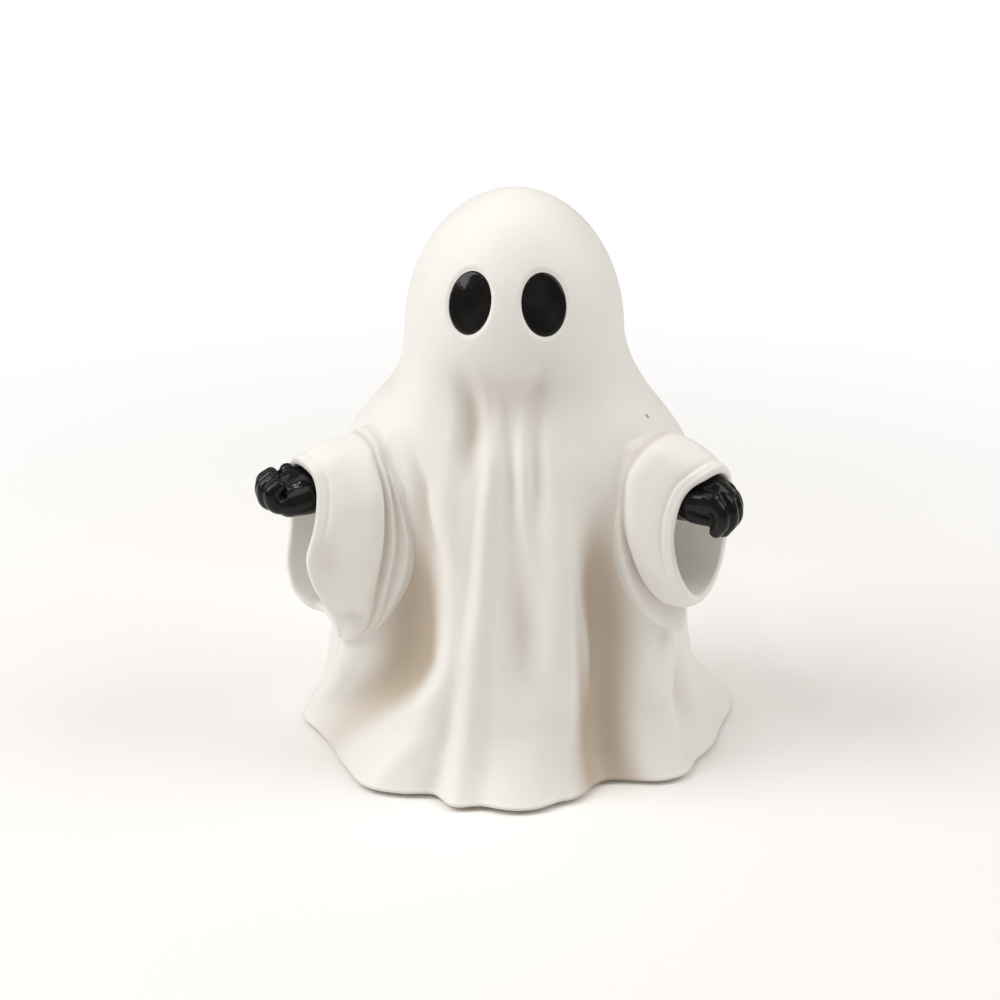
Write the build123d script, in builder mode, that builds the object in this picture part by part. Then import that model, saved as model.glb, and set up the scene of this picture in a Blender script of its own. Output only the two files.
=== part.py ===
from build123d import *

import os
from collections import namedtuple
from math import acos, asin, cos, degrees, pi, radians, sin, sqrt

# A ceramic ghost figure: a draped robe and its head cast as one hollow shell, two hanging sleeves with
# black hands held by dowels, oval eyes set into the head, and felt pads under the foot ring.
# Millimetres. +Z is up, the figure faces -Y, and its own left side is towards +X.
# Angles round the robe run from the front towards the figure's left.

Ring = namedtuple("Ring", "rise front side back")
Fold = namedtuple("Fold", "heights angles depths half_widths sharp")
Egg = namedtuple("Egg", "rise drop low_radius")
Mouth = namedtuple("Mouth", "top middle bottom yaw")
Arm = namedtuple("Arm", "name side root end mouth tier forearm_inset curl")

# Felt pads and the foot ring that they sit under
pad_thickness = 1.5
pad_radius = 6.0
pad_count = 4
pad_turn = 45.0
foot_floor = 5.0  # thickness of the inturned foot ring
foot_opening = 48.0  # radius of the drain opening

# Robe: each ring's rise above the one below, and its reach from the axis to the front, sides and back
robe_wall = 4.0
hem = Ring(rise=pad_thickness, front=72.0, side=72.5, back=70.0)
flare = Ring(rise=8.5, front=68.0, side=70.0, back=67.0)
skirt = Ring(rise=10.0, front=64.0, side=67.0, back=64.0)
knee = Ring(rise=12.0, front=60.5, side=64.5, back=61.0)
hip = Ring(rise=18.0, front=56.0, side=63.0, back=57.5)
waist = Ring(rise=25.0, front=51.0, side=60.5, back=53.0)
chest = Ring(rise=25.0, front=46.0, side=58.5, back=48.5)
shoulder = Ring(rise=12.0, front=43.0, side=55.5, back=46.0)
slope = Ring(rise=10.0, front=39.8, side=51.0, back=43.0)
collar = Ring(rise=9.0, front=37.6, side=45.0, back=40.2)
throat = Ring(rise=8.0, front=36.8, side=40.8, back=38.5)
robe_rings = [hem, flare, skirt, knee, hip, waist, chest, shoulder, slope, collar, throat]
outline_points = 72

# Head: a half ellipsoid above the temples, with a small flat at the crown
temple_rise = 11.0  # above the throat
head_radius = 38.5
crown_rise = 50.0
crown_flat = 3.0
head_rings = 8

# Folds of the robe: heights and angles at their top, middle and low end, then how far they push the robe out
# and their half widths in degrees at the middle and the low end; they are gone at their top
robe_folds = [
    Fold((152, 137, 112), (0, 0, 0), (-2.6, 0), (52, 55), 1.0),
    Fold((152, 120, 101), (-25, -17.5, -13), (-3.2, 0), (10, 11), 1.0),
    Fold((98, 56, 14), (4.5, 8.5, 12), (-3.2, 0), (10, 12), 1.0),
    Fold((140, 96, 1.5), (-4, -7, -10.5), (1.7, 3.4), (8, 9), 1.2),
    Fold((60, 24, 1.5), (8, 8, 6), (1.0, 3.4), (14, 16), 1.0),
    Fold((120, 56, 1.5), (-41, -37, -58), (-11, -2), (20, 15), 0.8),
    Fold((66, 24, 1.5), (-13, -24, -31), (2.6, 5.0), (10, 13), 1.0),
    Fold((38, 16, 1.5), (-13, -15, -18), (-1.0, -3.0), (8, 8), 1.0),
    Fold((64, 30, 1.5), (-58, -64, -78), (4.6, 4.0), (11, 15), 1.5),
    Fold((122, 78, 1.5), (20, 22.5, 19), (2.2, 0.4), (9, 10), 1.0),
    Fold((118, 60, 1.5), (41, 41.5, 39), (-10, -10), (16.5, 15), 0.8),
    Fold((56, 25, 1.5), (74, 56.5, 58), (6.5, 6.0), (8.5, 12), 1.3),
    Fold((48, 20, 1.5), (76, 72, 70), (-4.6, -0.6), (12, 10), 1.0),
    Fold((64, 24, 1.5), (98, 103, 106), (6.0, 11.0), (16, 20), 1.0),
    Fold((92, 40, 1.5), (126, 127, 130), (-2.4, -3.5), (12, 14), 1.0),
    Fold((112, 50, 1.5), (144, 145, 148), (2.6, 4.2), (12, 15), 1.2),
    Fold((114, 60, 1.5), (164, 165, 167), (-2.4, -3.5), (10, 13), 1.0),
    Fold((118, 54, 1.5), (188, 187, 186), (2.6, 4.2), (12, 15), 1.2),
    Fold((108, 52, 1.5), (210, 208, 207), (-2.4, -3.6), (11, 13), 1.0),
    Fold((94, 44, 1.5), (230, 228, 226), (2.8, 4.6), (13, 15), 1.2),
    Fold((76, 36, 1.5), (247, 246, 245), (-2.0, -3.0), (10, 12), 1.0),
    Fold((62, 30, 1.5), (259, 261, 263), (2.6, 4.0), (12, 14), 1.2),
]

# Eyes: oval inlays in shallow pockets of the head
eye_angle = 21.3  # either side of the front
eye_rise = 18.8  # above the temples
eye_width = 15.6
eye_length = 21.4
eye_thickness = 1.6
eye_recess = 0.6
eye_clearance = 0.12

# Firing vent in the left shoulder
vent_radius = 0.8
vent_angle = 70.0
vent_rise = 10.5  # above the shoulder ring

# Arms: both reach out and forward from the shoulders
arm_forward = 25.0
arm_drop = 12.0  # shoulder ring down to the wrist centre
luting_gap = 0.15  # joint line between the robe and what is luted to it

# Sleeves: an egg-shaped tube, round over the forearm and hanging below it, with a hollowed mouth
sleeve_length = 18.5  # mouth beyond the widest flank
sleeve_overrun = 6.0  # tube beyond the mouth, before it is cut
sleeve_wall = 3.5
sleeve_root = 30.0  # buried end, from the robe axis
mouth_margin = 4.0
rim_round = 1.2
tier_setback = 8.5  # end of the lower tier, inside the mouth
tier_top_radius = 11.0
tier_round = 4.0

# Forearms and dowels inside the sleeves
forearm_radius = 9.4
forearm_clearance = 0.3
dowel_radius = 2.5
dowel_length = 14.0
dowel_clearance = 0.08
glue_line = 0.2  # forearm end to wrist

# Hands: fingers curl down on the left hand and up on the right one
hand_clearance = 0.7  # hand to the roof of the sleeve
wrist_thickness = 14.0
palm_length = 16.0
palm_swell = 10.0  # wrist to the thickest part of the palm
palm_thickness = 9.5
palm_offset = 3.5  # palm to one side of the wrist centre, away from the curl of the fingers
knuckle_edge = 1.6  # thickness of the palm where it ends between the fingers
finger_count = 4
finger_radius = 2.4
finger_curl = 7.0  # radius of a finger's centre line
finger_sweep = 158.0
finger_shortening = 14.0  # degrees less curl for each place away from the middle
thumb_radius = 2.6
thumb_length = 10.5
thumb_reach = 8.5  # wrist to the thumb's root
thumb_lean = 22.0  # outwards from upright

# An egg's rise is from the wrist centre to its top circle's centre, and its drop is from there to its low one.
# A mouth's top, middle and bottom are beyond the sleeve's reach, and the first and last are clear of the
# sleeve's ends by the margin; a yaw turns the mouth towards the front.
arms = [
    Arm(
        name="left",
        side=1,
        root=Egg(rise=13.0, drop=41.0, low_radius=15.0),
        end=Egg(rise=-1.6, drop=20.0, low_radius=16.1),
        mouth=Mouth(top=2.5, middle=-6.1, bottom=-3.7, yaw=12.0),
        tier=(Egg(rise=13.0, drop=48.0, low_radius=14.5), Egg(rise=0.0, drop=33.5, low_radius=15.0)),
        forearm_inset=12.0,
        curl=-1,
    ),
    Arm(
        name="right",
        side=-1,
        root=Egg(rise=12.0, drop=43.0, low_radius=17.5),
        end=Egg(rise=-1.6, drop=36.4, low_radius=18.0),
        mouth=Mouth(top=2.0, middle=-2.0, bottom=-9.0, yaw=3.0),
        tier=None,
        forearm_inset=6.5,
        curl=1,
    ),
]

# Heights and reaches that follow from the sizes above
ring_heights = [sum(ring.rise for ring in robe_rings[: place + 1]) for place in range(len(robe_rings))]
hem_height = ring_heights[robe_rings.index(hem)]
shoulder_height = ring_heights[robe_rings.index(shoulder)]
temple_height = ring_heights[robe_rings.index(throat)] + temple_rise
arm_height = shoulder_height - arm_drop
sleeve_reach = max(waist.side, chest.side, shoulder.side) + sleeve_length
sleeve_top_radius = forearm_radius + forearm_clearance + sleeve_wall
hand_radius = forearm_radius + forearm_clearance - hand_clearance
palm_half_width = sqrt(hand_radius**2 - palm_offset**2)
finger_spacing = 2 * (palm_half_width - finger_radius) / (finger_count - 1)
bore_radius = dowel_radius + dowel_clearance
bore_depth = dowel_length / 2 + dowel_clearance
eye_reach = head_radius * sqrt(1 - (eye_rise / crown_rise) ** 2)
eye_slope = Vector(eye_reach / head_radius**2, 0, eye_rise / crown_rise**2).normalized()
pieces = []


def smooth_share(start, end, value):
    """Share of the way from start to end, eased at both."""
    share = min(max((value - start) / (end - start), 0.0), 1.0)
    return share * share * (3 - 2 * share)


def fold_depth(angle, height):
    """How far the folds push the robe out at an angle and a height."""
    depth = 0.0
    for fold in robe_folds:
        top, middle, low = fold.heights
        upper = smooth_share(top, middle, height)
        lower = smooth_share(middle, low, height)
        push = fold.depths[0] * upper + (fold.depths[1] - fold.depths[0]) * lower
        half_width = fold.half_widths[0] + (fold.half_widths[1] - fold.half_widths[0]) * lower
        top_angle, middle_angle, low_angle = fold.angles
        centre = top_angle + (middle_angle - top_angle) * upper + (low_angle - middle_angle) * lower
        offset = abs((angle - centre + 180) % 360 - 180) / half_width
        if offset < 1:
            depth += push * ((1 + cos(pi * offset)) / 2) ** fold.sharp
    return depth


def robe_reach(ring, height, angle):
    """Reach of the robe from its axis, folds included."""
    turn = radians(angle)
    end = ring.front if cos(turn) > 0 else ring.back
    return end * cos(turn) ** 2 + ring.side * sin(turn) ** 2 + fold_depth(angle, height)


def polar_point(reach, angle):
    """A point round the axis, with the front at angle zero."""
    return reach * sin(radians(angle)), -reach * cos(radians(angle))


def body_rings(inset):
    """Height and outline of each ring from hem to crown, all moved inwards by the inset."""
    angles = [360 * step / outline_points for step in range(outline_points)]
    rings = []
    for ring, height in zip(robe_rings, ring_heights):
        reaches = [robe_reach(ring, height, angle) - inset for angle in angles]
        rings.append((height, [polar_point(reach, angle) for reach, angle in zip(reaches, angles)]))
    radius = head_radius - inset
    for step in range(head_rings):
        turn = acos(crown_flat / radius) * step / (head_rings - 1)
        height = temple_height + (crown_rise - inset) * sin(turn)
        rings.append((height, [polar_point(radius * cos(turn), angle) for angle in angles]))
    return rings


def solid_body(inset):
    """The robe and head as one solid, inside the outer surface by the inset."""
    knots = [float(knot) for knot in range(outline_points + 1)]
    with BuildPart() as body:
        for height, outline in body_rings(inset):
            with BuildSketch(Plane.XY.offset(height)):
                with BuildLine():
                    add(Edge.make_spline(outline, periodic=True, parameters=knots))
                make_face()
        loft()
    return body.part


def eye_plane(side):
    """Plane on the head at an eye's middle, facing out, with its first axis level."""
    across, ahead = polar_point(1, side * eye_angle)
    middle = (eye_reach * across, eye_reach * ahead, temple_height + eye_rise)
    facing = (eye_slope.X * across, eye_slope.X * ahead, eye_slope.Z)
    return Plane(middle, x_dir=(-ahead, across, 0), z_dir=facing)


def arm_axes(arm):
    """Outward and sideways directions of an arm; the thumb is on the negative side."""
    turn = radians(arm_forward)
    outward = Vector(arm.side * cos(turn), -sin(turn), 0)
    return outward, Vector(0, 0, 1).cross(outward)


def arm_point(arm, reach, across=0.0, up=0.0):
    """A point given along, across and above an arm's centre line."""
    outward, sideways = arm_axes(arm)
    return Vector(0, 0, arm_height + up) + outward * reach + sideways * across


def arm_plane(arm, reach, up=0.0, yaw=0.0):
    """Plane square to an arm, with its first axis level; a yaw turns it to face the front."""
    outward, sideways = arm_axes(arm)
    facing = outward.rotate(Axis.Z, -arm.side * yaw)
    return Plane(arm_point(arm, reach, 0, up), x_dir=sideways.rotate(Axis.Z, -arm.side * yaw), z_dir=facing)


def egg_tube(stations, top_radius, inset=0.0):
    """A tube through egg-shaped sections, each on its plane, inside its outer surface by the inset."""
    top_radius = top_radius - inset
    with BuildPart() as tube:
        for plane, egg in stations:
            low_radius = egg.low_radius - inset
            lean = degrees(asin((low_radius - top_radius) / egg.drop))
            with BuildSketch(plane):
                with BuildLine():
                    top_left = CenterArc((0, 0), top_radius, 90, 90 - lean)
                    low_left = CenterArc((0, -egg.drop), low_radius, 180 - lean, 90 + lean)
                    low_right = CenterArc((0, -egg.drop), low_radius, 270, 90 + lean)
                    top_right = CenterArc((0, 0), top_radius, lean, 90 - lean)
                    Line(top_left @ 1, low_left @ 0)
                    Line(low_right @ 1, top_right @ 0)
                make_face()
        loft()
    return tube.part


def sleeve_tube(arm, inset):
    """The tube of a sleeve, from its buried end to beyond its mouth."""
    stations = [
        (arm_plane(arm, sleeve_root, arm.root.rise), arm.root),
        (arm_plane(arm, sleeve_reach + sleeve_overrun, arm.end.rise), arm.end),
    ]
    return egg_tube(stations, sleeve_top_radius, inset)


def sleeve_tier(arm):
    """The lower tier that hangs out from under a sleeve, rounded at its outer end."""
    outer_plane = arm_plane(arm, sleeve_reach - tier_setback, arm.tier[1].rise, arm.mouth.yaw)
    stations = [(arm_plane(arm, sleeve_root, arm.tier[0].rise), arm.tier[0]), (outer_plane, arm.tier[1])]
    with BuildPart() as tier:
        add(egg_tube(stations, tier_top_radius))
        fillet(tier.faces().filter_by(outer_plane).edges(), tier_round)
    return tier.part


def mouth_cutter(arm):
    """Everything beyond a sleeve's mouth, which is an arc seen along the mouth from the side."""
    mouth_plane = arm_plane(arm, sleeve_reach, 0, arm.mouth.yaw)
    top = sleeve_top_radius + mouth_margin
    bottom = arm.end.rise - arm.end.drop - arm.end.low_radius - mouth_margin
    beyond = 3 * sleeve_overrun
    half_width = 2 * max(arm.root.low_radius, arm.end.low_radius)
    with BuildPart() as cutter:
        with BuildSketch(Plane(mouth_plane.origin, x_dir=mouth_plane.z_dir, z_dir=mouth_plane.x_dir * -1)):
            with BuildLine():
                edge = ThreePointArc(
                    (arm.mouth.bottom, bottom), (arm.mouth.middle, (top + bottom) / 2), (arm.mouth.top, top)
                )
                above = edge @ 1 + Vector(0, beyond)
                below = edge @ 0 - Vector(0, beyond)
                Polyline(edge @ 1, above, (beyond, above.Y), (beyond, below.Y), below, edge @ 0)
            make_face()
        extrude(amount=half_width, both=True)
    return cutter.part


def finish(builder, label):
    """Name a finished piece and keep it for writing."""
    builder.part.label = label
    pieces.append(builder.part)


# Solids that the pieces are cut from or with
outer_body = solid_body(0)
joint_body = solid_body(-luting_gap)
inlay_front = solid_body(eye_recess)
inlay_back = solid_body(eye_recess + eye_thickness)
pocket_floor = solid_body(eye_recess + eye_thickness + eye_clearance)
inner_body = solid_body(robe_wall)

with BuildPart() as cavity:
    add(inner_body)
    split(bisect_by=Plane.XY.offset(hem_height + foot_floor), keep=Keep.TOP)

pockets = []
for arm in arms:
    with BuildPart() as pocket:
        with BuildSketch(eye_plane(arm.side)):
            Ellipse(eye_width / 2 + eye_clearance, eye_length / 2 + eye_clearance)
        extrude(amount=2 * robe_wall, both=True)
        add(pocket_floor, mode=Mode.SUBTRACT)
    pockets.append(pocket.part)

# Robe and head: hollow above the foot ring, with the eye pockets, the drain opening and the vent
vent_facing = (*polar_point(1, vent_angle), 0)
with BuildPart() as robe_shell:
    add(outer_body)
    add(cavity.part, mode=Mode.SUBTRACT)
    add(pockets, mode=Mode.SUBTRACT)
    with BuildSketch(Plane.XY.offset(hem_height)):
        Circle(foot_opening)
    extrude(amount=foot_floor, mode=Mode.SUBTRACT)
    with BuildSketch(Plane((0, 0, shoulder_height + vent_rise), z_dir=vent_facing)):
        Circle(vent_radius)
    extrude(amount=2 * head_radius, mode=Mode.SUBTRACT)
finish(robe_shell, "robe_shell")

for arm in arms:
    # Eye: follows the curve of the head, a little below its surface
    with BuildPart() as eye:
        with BuildSketch(eye_plane(arm.side)):
            Ellipse(eye_width / 2, eye_length / 2)
        extrude(amount=2 * robe_wall, both=True)
        add(inlay_front, mode=Mode.INTERSECT)
        add(inlay_back, mode=Mode.SUBTRACT)
    finish(eye, f"{arm.name}_eye")

    # Sleeve: a tube cut to the robe, with its lower tier, and with a rounded rim at its mouth
    with BuildPart() as sleeve:
        add(sleeve_tube(arm, 0))
        if arm.tier:
            add(sleeve_tier(arm))
        add(sleeve_tube(arm, sleeve_wall), mode=Mode.SUBTRACT)
        add(joint_body, mode=Mode.SUBTRACT)
        add(mouth_cutter(arm), mode=Mode.SUBTRACT)
        mouth_face = sleeve.faces().filter_by(GeomType.CYLINDER).sort_by(SortBy.AREA)[-1]
        fillet(mouth_face.edges(), rim_round)
    finish(sleeve, f"{arm.name}_sleeve")

    # Forearm: a stub from the robe to the wrist, bored for the dowel
    wrist_reach = sleeve_reach - arm.forearm_inset
    with BuildPart() as forearm:
        with BuildSketch(arm_plane(arm, sleeve_root)):
            Circle(forearm_radius)
        extrude(amount=wrist_reach - sleeve_root)
        add(joint_body, mode=Mode.SUBTRACT)
        with BuildSketch(arm_plane(arm, wrist_reach)):
            Circle(bore_radius)
        extrude(amount=-bore_depth, mode=Mode.SUBTRACT)
    finish(forearm, f"{arm.name}_forearm")

    # Dowel: half in the forearm, half in the hand
    with BuildPart() as dowel:
        with BuildSketch(arm_plane(arm, wrist_reach + glue_line / 2)):
            Circle(dowel_radius)
        extrude(amount=dowel_length / 2, both=True)
        add(joint_body, mode=Mode.SUBTRACT)
    finish(dowel, f"{arm.name}_hand_dowel")

    # Hand: a tapering palm, curled fingers and a thumb, bored for the dowel
    hand_start = wrist_reach + glue_line
    knuckle_reach = hand_start + palm_length
    palm_up = -arm.curl * palm_offset
    outward, sideways = arm_axes(arm)
    with BuildPart() as hand:
        with BuildSketch(arm_plane(arm, hand_start)):
            Ellipse(palm_half_width, wrist_thickness / 2)
        with BuildSketch(arm_plane(arm, hand_start + palm_swell, palm_up)):
            Ellipse(palm_half_width, palm_thickness / 2)
        with BuildSketch(arm_plane(arm, knuckle_reach, palm_up)):
            Ellipse(palm_half_width - finger_radius, knuckle_edge / 2)
        loft()
        for place in range(finger_count):
            from_middle = place - (finger_count - 1) / 2
            curl_angle = finger_sweep - finger_shortening * abs(from_middle)
            root = arm_point(arm, knuckle_reach - finger_radius, from_middle * finger_spacing, palm_up)
            pivot = root + Vector(0, 0, arm.curl * finger_curl)
            with BuildSketch(Plane(root, x_dir=sideways, z_dir=outward)):
                Circle(finger_radius)
            revolve(axis=Axis(pivot, sideways * -arm.curl), revolution_arc=curl_angle)
            tip = pivot + (root - pivot).rotate(Axis((0, 0, 0), sideways * -arm.curl), curl_angle)
            with Locations(root, tip):
                Sphere(finger_radius)
        thumb_turn = radians(thumb_lean)
        thumb_root = arm_point(arm, hand_start + thumb_reach, thumb_radius - palm_half_width, palm_up)
        thumb_facing = Vector(0, 0, arm.curl * cos(thumb_turn)) + outward * sin(thumb_turn)
        with BuildSketch(Plane(thumb_root, x_dir=sideways, z_dir=thumb_facing)):
            Circle(thumb_radius)
        extrude(amount=thumb_length)
        with Locations(thumb_root, thumb_root + thumb_facing * thumb_length):
            Sphere(thumb_radius)
        with BuildSketch(arm_plane(arm, hand_start)):
            Circle(bore_radius)
        extrude(amount=bore_depth, mode=Mode.SUBTRACT)
    finish(hand, f"{arm.name}_hand")

# Felt pads, half way between the drain opening and the narrowest part of the hem
narrowest_hem = min(robe_reach(hem, hem_height, angle) for angle in range(360))
pad_circle = (foot_opening + narrowest_hem) / 2
for place in range(pad_count):
    pad_angle = pad_turn + 360 * place / pad_count
    with BuildPart() as pad:
        with BuildSketch(Plane((*polar_point(pad_circle, pad_angle), 0))):
            Circle(pad_radius)
        extrude(amount=pad_thickness)
    finish(pad, f"felt_pad_{place + 1}")

# The origin is on the table, under the middle of the whole figure
box = Compound(pieces).bounding_box()
to_origin = Location((-box.center().X, -box.center().Y, 0))
os.makedirs("parts", exist_ok=True)
for piece in pieces:
    export_step(piece.moved(to_origin), f"parts/{piece.label}.step")
print(f"{len(pieces)} pieces, {box.size.X:.1f} x {box.size.Y:.1f} x {box.size.Z:.1f} mm")
print(f"robe axis at x {to_origin.position.X:.3f}, y {to_origin.position.Y:.3f}")
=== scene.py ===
import math
import bpy
import bmesh
import numpy as np
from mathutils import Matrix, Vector
from mathutils.bvhtree import BVHTree


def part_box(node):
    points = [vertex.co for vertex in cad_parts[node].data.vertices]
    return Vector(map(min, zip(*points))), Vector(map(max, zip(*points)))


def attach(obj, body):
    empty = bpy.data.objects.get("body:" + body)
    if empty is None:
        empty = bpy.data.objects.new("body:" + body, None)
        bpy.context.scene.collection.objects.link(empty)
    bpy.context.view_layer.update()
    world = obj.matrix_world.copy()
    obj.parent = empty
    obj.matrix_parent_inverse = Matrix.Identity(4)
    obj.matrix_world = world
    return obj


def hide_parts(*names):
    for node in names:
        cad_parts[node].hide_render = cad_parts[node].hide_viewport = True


# Ceramic ghost figure: satin white robe and sleeves, black glazed hands and eyes, felt under the foot
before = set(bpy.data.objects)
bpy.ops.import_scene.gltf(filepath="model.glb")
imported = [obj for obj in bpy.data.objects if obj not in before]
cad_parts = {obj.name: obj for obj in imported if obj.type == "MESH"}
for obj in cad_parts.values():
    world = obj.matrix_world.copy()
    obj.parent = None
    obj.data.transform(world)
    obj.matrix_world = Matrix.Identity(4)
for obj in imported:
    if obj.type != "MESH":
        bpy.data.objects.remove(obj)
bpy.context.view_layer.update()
scene = bpy.context.scene
scene.view_settings.view_transform = "Standard"
mm = 0.001


def middleOf(node):
    low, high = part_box(node)
    return (low + high) / 2


# The robe stands on the middle of its four pads, and all shapes are drawn in mm from there
padNodes = [f"felt_pad_{number}" for number in range(1, 5)]
robeAxis = sum((middleOf(node) for node in padNodes), Vector()) / len(padNodes)
robeAxis.z = 0.0
axisPoint = np.array(robeAxis)
print("frame loaded, robe axis at", [round(value / mm, 2) for value in robeAxis])


def toFrame(points):
    return np.asarray(points, float) * mm + axisPoint


def smoothRun(stations, values, places):  # smooth line through a few stations
    stations, values = np.asarray(stations, float), np.asarray(values, float)
    slopes = np.gradient(values, stations)
    left = np.clip(np.searchsorted(stations, places) - 1, 0, len(stations) - 2)
    span = stations[left + 1] - stations[left]
    t = np.clip((places - stations[left]) / span, 0, 1)
    start, end = values[left], values[left + 1]
    return ((2 * t**3 - 3 * t**2 + 1) * start + (t**3 - 2 * t**2 + t) * span * slopes[left]
            + (3 * t**2 - 2 * t**3) * end + (t**3 - t**2) * span * slopes[left + 1])


def roundRun(values, share):  # the same on a closed loop, with stations at equal steps
    count = len(values)
    stations = np.arange(-2, count + 3) / count
    return smoothRun(stations, [values[step % count] for step in range(-2, count + 3)], share % 1)


def marksAlong(points):  # lengths along a line of points
    steps = np.linalg.norm(np.diff(points, axis=0), axis=1)
    return np.concatenate([[0], np.cumsum(steps)])


def smoothStep(low, high, value):
    t = np.clip((value - low) / (high - low), 0, 1)
    return t * t * (3 - 2 * t)


def newPiece(name, mesh, materials=()):
    piece = bpy.data.objects.new(name, mesh)
    scene.collection.objects.link(piece)
    for material in materials:
        mesh.materials.append(material)
    return piece


def rowsToMesh(name, rows, firstPole=None, lastPole=None, loop=False):
    # rows of points round an axis, in mm, joined into one closed skin
    count, columns = rows.shape[:2]
    points = [toFrame(rows.reshape(-1, 3))]
    faces = []
    for row in range(count if loop else count - 1):
        near, far = row * columns, (row + 1) % count * columns
        for column in range(columns):
            after = (column + 1) % columns
            faces.append((near + column, near + after, far + after, far + column))
    for pole, row in ((firstPole, 0), (lastPole, count - 1)):
        if pole is not None:
            centre = sum(len(block) for block in points)
            points.append(toFrame([pole]))
            for column in range(columns):
                faces.append((centre, row * columns + column, row * columns + (column + 1) % columns))
    mesh = bpy.data.meshes.new(name)
    mesh.from_pydata(np.concatenate(points).tolist(), [], faces)
    turnOutwards(mesh)
    return mesh


def turnOutwards(mesh):
    work = bmesh.new()
    work.from_mesh(mesh)
    bmesh.ops.recalc_face_normals(work, faces=work.faces)
    if work.calc_volume(signed=True) < 0:
        bmesh.ops.reverse_faces(work, faces=work.faces)
    work.to_mesh(mesh)
    work.free()
    mesh.polygons.foreach_set("use_smooth", [True] * len(mesh.polygons))
    mesh.update()


def addValues(mesh, name, values):
    attribute = mesh.attributes.new(name, "FLOAT", "POINT")
    attribute.data.foreach_set("value", np.asarray(values, np.float32))


def settle(piece):  # turns the modifiers' result into the piece's own mesh
    depsgraph = bpy.context.evaluated_depsgraph_get()
    mesh = bpy.data.meshes.new_from_object(
        piece.evaluated_get(depsgraph), preserve_all_data_layers=True, depsgraph=depsgraph)
    piece.modifiers.clear()
    piece.data = mesh
    return piece


# Node helpers, for the geometry trees and the materials alike
def addNode(tree, kind, **settings):
    node = tree.nodes.new(kind)
    for name, value in settings.items():
        setattr(node, name, value)
    return node


def feed(tree, socket, value):
    if isinstance(value, bpy.types.NodeSocket):
        tree.links.new(value, socket)
    else:
        socket.default_value = value


def mathNode(tree, operation, *values):
    node = addNode(tree, "ShaderNodeMath", operation=operation)
    for socket, value in zip(node.inputs, values):
        feed(tree, socket, value)
    return node.outputs[0]


def rangeNode(tree, value, low, high, start=0.0, end=1.0):  # eased from one range into another
    node = addNode(tree, "ShaderNodeMapRange", interpolation_type="SMOOTHSTEP")
    for socket, source in zip(node.inputs, (value, low, high, start, end)):
        feed(tree, socket, source)
    return node.outputs[0]


def mixVectors(tree, share, first, second):
    node = addNode(tree, "ShaderNodeMix", data_type="VECTOR")
    for place, value in ((0, share), (4, first), (5, second)):
        feed(tree, node.inputs[place], value)
    return node.outputs[1]


def mixColours(tree, share, first, second):
    node = addNode(tree, "ShaderNodeMix", data_type="RGBA")
    for place, value in ((0, share), (6, first), (7, second)):
        feed(tree, node.inputs[place], value)
    return node.outputs[2]


def blendShaders(tree, output, share, first, second):
    node = addNode(tree, "ShaderNodeMixShader")
    for socket, value in zip(node.inputs, (share, first, second)):
        feed(tree, socket, value)
    feed(tree, tree.nodes[output].inputs["Surface"], node.outputs[0])


def splitVector(tree, vector):
    node = addNode(tree, "ShaderNodeSeparateXYZ")
    feed(tree, node.inputs[0], vector)
    return node.outputs


def namedValue(tree, name):
    node = addNode(tree, "GeometryNodeInputNamedAttribute", data_type="FLOAT")
    node.inputs["Name"].default_value = name
    return node.outputs["Attribute"]


def newTree(name, inputs, output):
    tree = bpy.data.node_groups.new(name, "GeometryNodeTree")
    for label, kind in inputs:
        tree.interface.new_socket(label, in_out="INPUT", socket_type=f"NodeSocket{kind}")
    tree.interface.new_socket(output[0], in_out="OUTPUT", socket_type=f"NodeSocket{output[1]}")
    return tree, addNode(tree, "NodeGroupInput").outputs, addNode(tree, "NodeGroupOutput").inputs


def runTree(piece, tree, values):
    modifier = piece.modifiers.new(tree.name, "NODES")
    modifier.node_group = tree
    for socket in tree.interface.items_tree:
        if socket.in_out == "INPUT" and socket.name in values:
            modifier[socket.identifier] = values[socket.name]
    return settle(piece)


# Finishes: everything reads Object coordinates, which are metres in the frame
def newMaterial(name):
    material = bpy.data.materials.new(name)
    material.use_nodes = True
    tree = material.node_tree
    shader = tree.nodes["Principled BSDF"]
    place = addNode(tree, "ShaderNodeTexCoord").outputs["Object"]
    return material, tree, shader, place


def noiseNode(tree, place, scale, detail=3.0, roughness=0.5):
    node = addNode(tree, "ShaderNodeTexNoise")
    feed(tree, node.inputs["Vector"], place)
    node.inputs["Scale"].default_value = scale
    node.inputs["Detail"].default_value = detail
    node.inputs["Roughness"].default_value = roughness
    return node.outputs[0]


def bumpNode(tree, height, strength, distance, under=None):
    node = addNode(tree, "ShaderNodeBump")
    node.inputs["Strength"].default_value = strength
    node.inputs["Distance"].default_value = distance
    feed(tree, node.inputs["Height"], height)
    if under is not None:
        feed(tree, node.inputs["Normal"], under)
    return node.outputs[0]


whiteLook = {
    # the third colour is the warm brown of the painted crease shade, partly glaze pooling and mostly
    # painted shade; the depth after it is how far a fold must sink for it to show fully
    "ridge": (0.89, 0.872, 0.84, 1), "cloud": (0.865, 0.85, 0.822, 1), "poolAndShade": (0.55, 0.462, 0.372, 1),
    "poolAndShadeDepth": 9.0, "rough": (0.44, 0.58), "ior": 1.48,
    "cloudScale": 38, "smearScale": 120, "waveScale": 260, "grainScale": 2600,
}


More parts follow.
